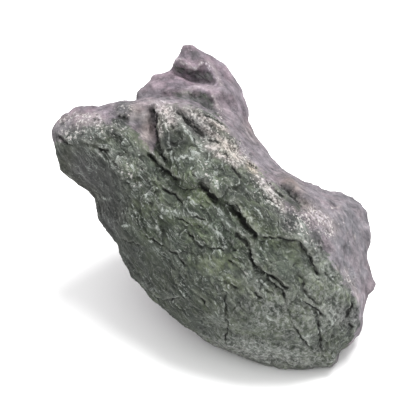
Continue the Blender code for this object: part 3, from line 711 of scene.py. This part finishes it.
def thin_out(obj):
    """Brings the surface under the triangle limit, and keeps the side that faces the camera finest."""
    mesh = obj.data
    triangles = sum(len(face.vertices) - 2 for face in mesh.polygons)
    front = front_share(normals(mesh))
    group = obj.vertex_groups.new(name="coarse")
    for level in range(WEIGHT_LEVELS + 1):
        members = np.flatnonzero(np.round((1 - front) * WEIGHT_LEVELS) == level)
        weight = FINEST + (COARSEST - FINEST) / WEIGHT_LEVELS * level
        group.add(members.tolist(), weight, "REPLACE")
    thin = obj.modifiers.new("thin", "DECIMATE")
    thin.ratio = min(1.0, MOST_TRIANGLES / triangles)
    thin.vertex_group = group.name
    thin.vertex_group_factor = 1.0
    mesh = evaluated(obj)
    obj.vertex_groups.clear()
    dissolve_hinges(mesh)
    points = coordinates(mesh)
    points[:, 2] = np.maximum(points[:, 2], 0)
    move_to(mesh, points)
    mesh.shade_smooth()


# ---- colour zones on the surface

def strokes(spots, lines):
    """How strongly the strokes along these lines cover each point, 0 to 1."""
    cover = np.zeros(len(spots))
    places = ragged(spots, 1.0)
    for width, strength, line in lines.values():
        index, distance, _, _, _ = along(places, line, STROKE_REACH)
        share = strength * np.exp(-((distance / (STROKE_SPREAD * width)) ** 2))
        cover[index] = np.maximum(cover[index], share)
    return cover


def spots_cover(spots, patches):
    """How strongly these oval patches cover each point, 0 to 1."""
    cover = np.zeros(len(spots))
    places = ragged(spots, 1.4)
    for (a, b), (long, short), angle, strength in patches:
        turn = math.radians(angle)
        offset = places - (a, b)
        u = (offset[:, 0] * math.cos(turn) + offset[:, 1] * math.sin(turn)) / long
        v = (offset[:, 1] * math.cos(turn) - offset[:, 0] * math.sin(turn)) / short
        cover = np.maximum(cover, strength * np.exp(-((u * u + v * v) ** 1.5)))
    return cover


def hollowness(mesh, points, normal, rounds):
    """How far each point lies under its smoothed neighbourhood, in mm: negative on edges."""
    edges = np.empty(len(mesh.edges) * 2, np.int32)
    mesh.edges.foreach_get("vertices", edges)
    first, second = edges.reshape(-1, 2).T
    count = np.bincount(first, minlength=len(points)) + np.bincount(second, minlength=len(points))
    soft = points.copy()
    for _ in range(rounds):
        total = np.zeros_like(soft)
        for axis in range(3):
            total[:, axis] = np.bincount(first, soft[second, axis], len(points))
            total[:, axis] += np.bincount(second, soft[first, axis], len(points))
        soft = 0.5 * soft + 0.5 * total / count[:, None]
    return np.einsum("ij,ij->i", soft - points, normal) / MM


def paint(obj):
    """Writes the colour zones as vertex attributes."""
    mesh = obj.data
    points = coordinates(mesh)
    normal = normals(mesh)
    spots = to_face(points)
    front = view_share(spots, normal)
    _, inside, edge = crack_relief(spots)
    seen = 0.2 + 0.8 * front  # the mesh is coarser behind, where the same reach finds deeper hollows
    zones = {
        "crust": crust_share(spots, normal @ FACE_AXES[2]),
        "crack": inside * front,
        "lip": edge * front,
        "warm_flecks": strokes(spots, WARM_FLECKS) * front,
        "cool_flecks": strokes(spots, COOL_FLECKS) * front,
        "calm": spots_cover(spots, CALM) * front,
        "hollow": np.clip(hollowness(mesh, points, normal, HOLLOW_ROUNDS) * seen, -1, 1),
        "valley": np.clip(hollowness(mesh, points, normal, VALLEY_ROUNDS) / 2 * seen, -1, 1),
        "away": 1 - front,
    }
    zones |= {name: spots_cover(spots, patches) * front for name, patches in PATCHES.items()}
    for name, values in zones.items():
        attribute = mesh.attributes.new(name, "FLOAT", "POINT")
        attribute.data.foreach_set("value", values.astype(np.float32))


# ---- material

LIGHT_SHARE = 0.64


def linear(red, green, blue):
    """The surface colour that shows as these 0 to 255 display numbers under this light."""
    channels = [v / 255 for v in (red, green, blue)]
    return tuple(LIGHT_SHARE * ((v + 0.055) / 1.055) ** 2.4 for v in channels) + (1,)


class Graph:
    """Shader nodes with shorter calls. An input is a socket, a number or a tuple."""

    def __init__(self, material):
        material.use_nodes = True
        self.tree = material.node_tree
        self.tree.nodes.clear()

    def node(self, kind, inputs, **settings):
        made = self.tree.nodes.new("ShaderNode" + kind)
        for name, value in settings.items():
            setattr(made, name, value)
        for key, value in inputs.items():
            socket = made.inputs[key]
            if isinstance(value, bpy.types.NodeSocket):
                self.tree.links.new(value, socket)
            else:
                socket.default_value = value
        return made

    def attribute(self, name):
        return self.node("Attribute", {}, attribute_name=name).outputs["Fac"]

    def math(self, operation, first, second=0.0, third=0.0, clamp=False):
        inputs = {0: first, 1: second, 2: third}
        return self.node("Math", inputs, operation=operation, use_clamp=clamp).outputs[0]

    def plus(self, first, second):
        return self.math("ADD", first, second)

    def minus(self, first, second):
        return self.math("SUBTRACT", first, second)

    def times(self, first, second):
        return self.math("MULTIPLY", first, second)

    def vector(self, operation, first, second, third=(0, 0, 0)):
        inputs = {0: first, 1: second, 2: third}
        return self.node("VectorMath", inputs, operation=operation).outputs["Vector"]

    def noise(self, vector, scale, detail=2.0, roughness=0.5, distortion=0.0):
        inputs = {"Vector": vector, "Scale": scale, "Detail": detail, "Roughness": roughness}
        return self.node("TexNoise", inputs | {"Distortion": distortion}).outputs["Fac"]

    def chips(self, vector, scale, shift):
        """Two random values for each cell of a crooked mosaic."""
        bend = self.node("TexNoise", {"Vector": vector, "Scale": 2 * scale, "Detail": 2.0}).outputs["Color"]
        place = self.vector("MULTIPLY_ADD", bend, (1.1 / scale,) * 3, vector)
        place = self.vector("ADD", place, (shift, 0, 0))
        cell = self.node("TexVoronoi", {"Vector": place, "Scale": scale}).outputs["Color"]
        parts = self.node("SeparateColor", {"Color": cell}).outputs
        return parts[0], parts[1]

    def span(self, value, low, high, to_low=0.0, to_high=1.0):
        """The value, moved smoothly from the range low..high to to_low..to_high."""
        inputs = {"Value": value, "From Min": low, "From Max": high, "To Min": to_low, "To Max": to_high}
        return self.node("MapRange", inputs, interpolation_type="SMOOTHSTEP").outputs["Result"]

    def mix(self, share, first, second, blend="MIX"):
        inputs = {0: share, 6: first, 7: second}
        return self.node("Mix", inputs, data_type="RGBA", blend_type=blend, clamp_factor=True).outputs[2]

    def ramp(self, value, stops):
        made = self.node("ValToRGB", {"Fac": value})
        elements = made.color_ramp.elements
        while len(elements) < len(stops):
            elements.new(0.5)
        for element, (place, colour) in zip(elements, stops):
            element.position = place
            element.color = colour
        return made.outputs["Color"]


def stone_material():
    material = bpy.data.materials.new("seiryu_stone_surface")
    g = Graph(material)
    place = g.node("TexCoord", {}).outputs["Object"]

    # Coordinates in millimetres, and the same drawn out along the layers.
    spots = g.vector("MULTIPLY", place, (1 / MM,) * 3)
    drawn = []
    for axis, squeeze in zip(layer_axes(), (0.62, 1.0, 1.1)):
        world_axis = tuple(axis @ FACE_AXES * squeeze)
        reach = g.node("VectorMath", {0: spots, 1: world_axis}, operation="DOT_PRODUCT")
        drawn.append(reach.outputs["Value"])
    streaked = g.node("CombineXYZ", {"X": drawn[0], "Y": drawn[1], "Z": drawn[2]}).outputs[0]
    bend = g.node("TexNoise", {"Vector": spots, "Scale": 0.07, "Detail": 2.0}).outputs["Color"]
    fibrous = g.vector("MULTIPLY", streaked, (0.55, 1, 1))
    fibrous = g.vector("MULTIPLY_ADD", bend, (9,) * 3, fibrous)

    crust = g.attribute("crust")
    hollow = g.attribute("hollow")
    pale_warm = g.attribute("warm_flecks")
    pale_cool = g.attribute("cool_flecks")
    pale = g.math("MAXIMUM", pale_warm, pale_cool)

    # Broken rock: green-grey limestone, mottled along the layers and tinted in patches.
    tone = g.noise(fibrous, 0.24, 6, 0.68, 0.4)
    smoothed = g.times(g.attribute("calm"), 0.5)
    tone = g.math("MULTIPLY_ADD", smoothed, g.minus(0.465, tone), tone)
    broken = g.ramp(tone, [
        (0.33, linear(28, 34, 30)), (0.44, linear(55, 61, 54)), (0.54, linear(80, 86, 76)),
        (0.68, linear(133, 139, 127)),
    ])
    patch = g.noise(spots, 0.085, 3, 0.6)
    broken = g.mix(g.span(patch, 0.46, 0.62, 0, 0.75), broken, (1.05, 1.09, 0.88, 1), "MULTIPLY")
    broken = g.mix(g.span(patch, 0.46, 0.32, 0, 0.8), broken, (0.80, 0.85, 0.87, 1), "MULTIPLY")
    green = g.times(g.attribute("olive"), g.span(g.noise(streaked, 0.3, 4, 0.65), 0.36, 0.58))
    broken = g.mix(g.times(green, 0.78), broken, linear(124, 132, 103))
    grey = g.minus(1.0, g.times(g.attribute("grey"), 0.8))
    broken = g.node("HueSaturation", {"Saturation": grey, "Color": broken}).outputs[0]
    broken = g.mix(g.attribute("grey"), broken, (1.01, 0.98, 1.03, 1), "MULTIPLY")
    broken = g.mix(g.attribute("green"), broken, (0.95, 1.03, 0.90, 1), "MULTIPLY")
    mottle = g.span(g.noise(spots, 0.42, 5, 0.75, 0.5), 0.42, 0.66)
    broken = g.mix(g.times(g.attribute("ashen"), mottle), broken, linear(156, 158, 154))

    # Crust: mauve-grey, clouded, pinker in places.
    upright = g.vector("MULTIPLY", spots, (1, 1, 0.7))
    cloud = g.noise(upright, 0.16, 7, 0.7)
    shell = g.ramp(cloud, [
        (0.32, linear(74, 70, 76)), (0.45, linear(109, 103, 109)), (0.55, linear(131, 124, 131)),
        (0.70, linear(168, 159, 166)),
    ])
    shell = g.mix(g.span(patch, 0.45, 0.6, 0, 0.7), shell, (1.10, 1.0, 1.0, 1), "MULTIPLY")
    shell = g.mix(g.attribute("pink"), shell, (1.07, 0.97, 1.04, 1), "MULTIPLY")
    shell = g.mix(g.attribute("cool"), shell, (0.93, 1.0, 0.99, 1), "MULTIPLY")
    ragged_share = g.math("MULTIPLY_ADD", g.attribute("away"), -1.0, 1.3)
    torn = g.minus(g.noise(spots, 0.35, 4, 0.7), 0.5)
    border = g.plus(crust, g.times(torn, ragged_share))
    colour = g.mix(g.span(border, 0.3, 0.75), broken, shell)
    # Painted shade and painted light from the wide patches, with darker rock and paler rock in places.
    colour = g.mix(g.times(g.attribute("shade"), 0.62), colour, linear(38, 42, 38))
    colour = g.mix(g.attribute("light"), colour, (1.52, 1.52, 1.52, 1), "MULTIPLY")

    # Calcite: threads and wisps over the broken face, smears of them along the bands of flecks.
    bed = g.noise(spots, 0.07, 2, 0.5)
    speckled = g.attribute("speckled")
    thread = g.noise(fibrous, 0.2, 5, 0.62, 0.8)
    thread = g.span(g.math("ABSOLUTE", g.minus(thread, 0.5)), 0.02, 0.0)
    sparse = g.span(g.noise(spots, 0.13, 3, 0.6), 0.46, 0.6)
    thread = g.times(g.times(thread, sparse), g.minus(1.0, crust))
    wisp = g.noise(fibrous, 0.5, 7, 0.78, 0.5)
    amount = g.plus(wisp, g.times(g.minus(bed, 0.5), 0.35))
    amount = g.plus(amount, g.times(pale, 0.15))
    # More calcite wisps on edges and fewer in hollows, partly a painted highlight on edges.
    amount = g.minus(amount, g.times(hollow, 0.25))
    amount = g.minus(amount, g.times(crust, 0.05))
    amount = g.minus(amount, g.times(smoothed, 0.12))
    amount = g.minus(amount, g.times(g.attribute("away"), 0.05))
    calcite = g.times(g.span(amount, 0.59, 0.72), 0.82)
    calcite = g.math("MAXIMUM", calcite, g.times(thread, 0.5))
    white = g.mix(pale_warm, linear(182, 189, 183), linear(218, 205, 202))
    white = g.mix(crust, white, linear(208, 200, 206))
    colour = g.mix(g.times(pale_warm, 0.55), colour, linear(172, 161, 160))
    colour = g.mix(g.times(pale_cool, 0.35), colour, linear(150, 156, 148))
    colour = g.mix(calcite, colour, white)

    # Flecks, light and dark: drawn-out ones everywhere, and chips where the stone is speckled.
    fleck = g.noise(fibrous, 0.9, 4, 0.75, 0.4)
    grit = g.noise(spots, 1.1, 4, 0.75)
    fleck = g.math("MULTIPLY_ADD", crust, g.minus(grit, fleck), fleck)
    gain = g.span(g.noise(spots, 0.12, 3, 0.6), 0.42, 0.62, 0.08, 0.4)
    gain = g.times(gain, g.math("MULTIPLY_ADD", smoothed, -1.5, 1.0))
    gain = g.math("MULTIPLY_ADD", speckled, 0.62, g.math("MULTIPLY_ADD", crust, -0.1, gain), clamp=True)
    colour = g.mix(g.times(g.span(fleck, 0.54, 0.66), gain), colour, linear(200, 200, 194))
    colour = g.mix(g.times(g.span(fleck, 0.47, 0.35), gain), colour, linear(44, 47, 44))
    for size, seed in ((0.8, 0.0), (1.4, 30.0)):
        chip, other = g.chips(spots, size, seed)
        share = g.math("MULTIPLY_ADD", speckled, 0.10, g.times(pale, 0.05))
        light_chip = g.span(g.plus(chip, share), 1.0, 1.05)
        dark_chip = g.span(g.plus(other, share), 1.0, 1.05)
        colour = g.mix(g.times(dark_chip, 0.65), colour, linear(58, 58, 56))
        colour = g.mix(g.times(light_chip, 0.72), colour, linear(218, 213, 210))

    # Dark patches, painted shade in hollows and broad valleys, dirt and painted shade in cracks, painted
    # highlights on edges and on the lips of the ledges.
    colour = g.mix(g.attribute("warm"), colour, (1.04, 1.0, 0.86, 1), "MULTIPLY")
    # Darker rock, with painted shade in dents, pits, the pocket and under the rear lump.
    colour = g.mix(g.times(g.attribute("dark_and_shade"), 0.7), colour, linear(52, 54, 54))
    # Painted shade in small hollows and broad valleys.
    colour = g.mix(g.span(hollow, 0.05, 0.45, 0, 0.45), colour, linear(58, 58, 56))
    colour = g.mix(g.span(g.attribute("valley"), 0.15, 0.7, 0, 0.25), colour, linear(66, 68, 66))
    # Painted highlights on edges and on the lips of the ledges.
    colour = g.mix(g.span(hollow, -0.05, -0.4, 0, 0.15), colour, linear(178, 178, 174))
    colour = g.mix(g.times(g.attribute("lip"), 0.3), colour, linear(166, 168, 158))
    # Dirt and painted shade in the cracks.
    colour = g.mix(g.span(g.attribute("crack"), 0.35, 0.85, 0, 0.92), colour, linear(20, 21, 19))

    grain = g.noise(spots, 1.2, 4, 0.7)
    bump = g.node("Bump", {"Strength": 0.8, "Distance": 0.35 * MM, "Height": grain}).outputs["Normal"]
    shiny = g.span(g.noise(spots, 0.6, 3, 0.6), 0.3, 0.7, 0.72, 0.92)
    surface = g.node("BsdfPrincipled", {
        "Base Color": colour, "Roughness": shiny, "Normal": bump, "Specular IOR Level": 0.35,
    })
    g.node("OutputMaterial", {"Surface": surface.outputs[0]})
    return material


# ---- stage

def plain_material(name, colour, roughness):
    material = bpy.data.materials.new(name)
    material.use_nodes = True
    surface = material.node_tree.nodes["Principled BSDF"]
    surface.inputs["Base Color"].default_value = colour
    surface.inputs["Roughness"].default_value = roughness
    return material


def make_floor():
    mesh = bpy.data.meshes.new("floor")
    corners = [(x * FLOOR_REACH, y * FLOOR_REACH, 0) for x, y in ((-1, -1), (1, -1), (1, 1), (-1, 1))]
    mesh.from_pydata(corners, [], [(0, 1, 2, 3)])
    mesh.materials.append(plain_material("pale_floor", FLOOR_COLOUR, FLOOR_ROUGHNESS))
    floor = bpy.data.objects.new("floor", mesh)
    put_in_scene(floor)


def area_light(name, place, target, size, power):
    data = bpy.data.lights.new(name, "AREA")
    data.shape = "DISK"
    data.size = size
    data.energy = power
    light = bpy.data.objects.new(name, data)
    light.location = place
    light.rotation_mode = "QUATERNION"
    light.rotation_quaternion = (Vector(target) - Vector(place)).to_track_quat("-Z", "Y")
    put_in_scene(light)


def light_scene():
    world = bpy.data.worlds.new("studio")
    world.use_nodes = True
    sky = world.node_tree.nodes["Background"].inputs
    sky["Color"].default_value = (1, 1, 1, 1)
    sky["Strength"].default_value = WORLD_STRENGTH
    bpy.context.scene.world = world
    area_light("overhead", LAMP_PLACE, LAMP_TARGET, LAMP_SIZE, LAMP_POWER)
    bpy.context.scene.view_settings.view_transform = "Standard"


def make_camera():
    data = bpy.data.cameras.new("camera")
    data.lens = CAMERA_LENS
    data.sensor_width = CAMERA_SENSOR
    data.clip_start = NEAREST_SEEN
    camera = bpy.data.objects.new("camera", data)
    camera.location = FACE_ORIGIN + CAMERA_DISTANCE * FACE_AXES[2]
    camera.rotation_euler = (math.pi / 2 - FACE_ELEVATION, 0, 0)
    put_in_scene(camera)
    bpy.context.scene.camera = camera


# ---- the scene

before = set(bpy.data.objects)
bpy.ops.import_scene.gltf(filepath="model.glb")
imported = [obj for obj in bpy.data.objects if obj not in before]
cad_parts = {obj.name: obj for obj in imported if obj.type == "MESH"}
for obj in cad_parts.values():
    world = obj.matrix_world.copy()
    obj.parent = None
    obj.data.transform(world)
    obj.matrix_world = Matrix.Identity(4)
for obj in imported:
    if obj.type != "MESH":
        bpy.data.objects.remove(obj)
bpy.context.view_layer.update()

stone = fine_copy(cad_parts["stone"])
shape(stone)
thin_out(stone)
paint(stone)
stone.data.materials.clear()
stone.data.materials.append(stone_material())
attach(stone, "root")
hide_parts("stone")

make_floor()
light_scene()
make_camera()
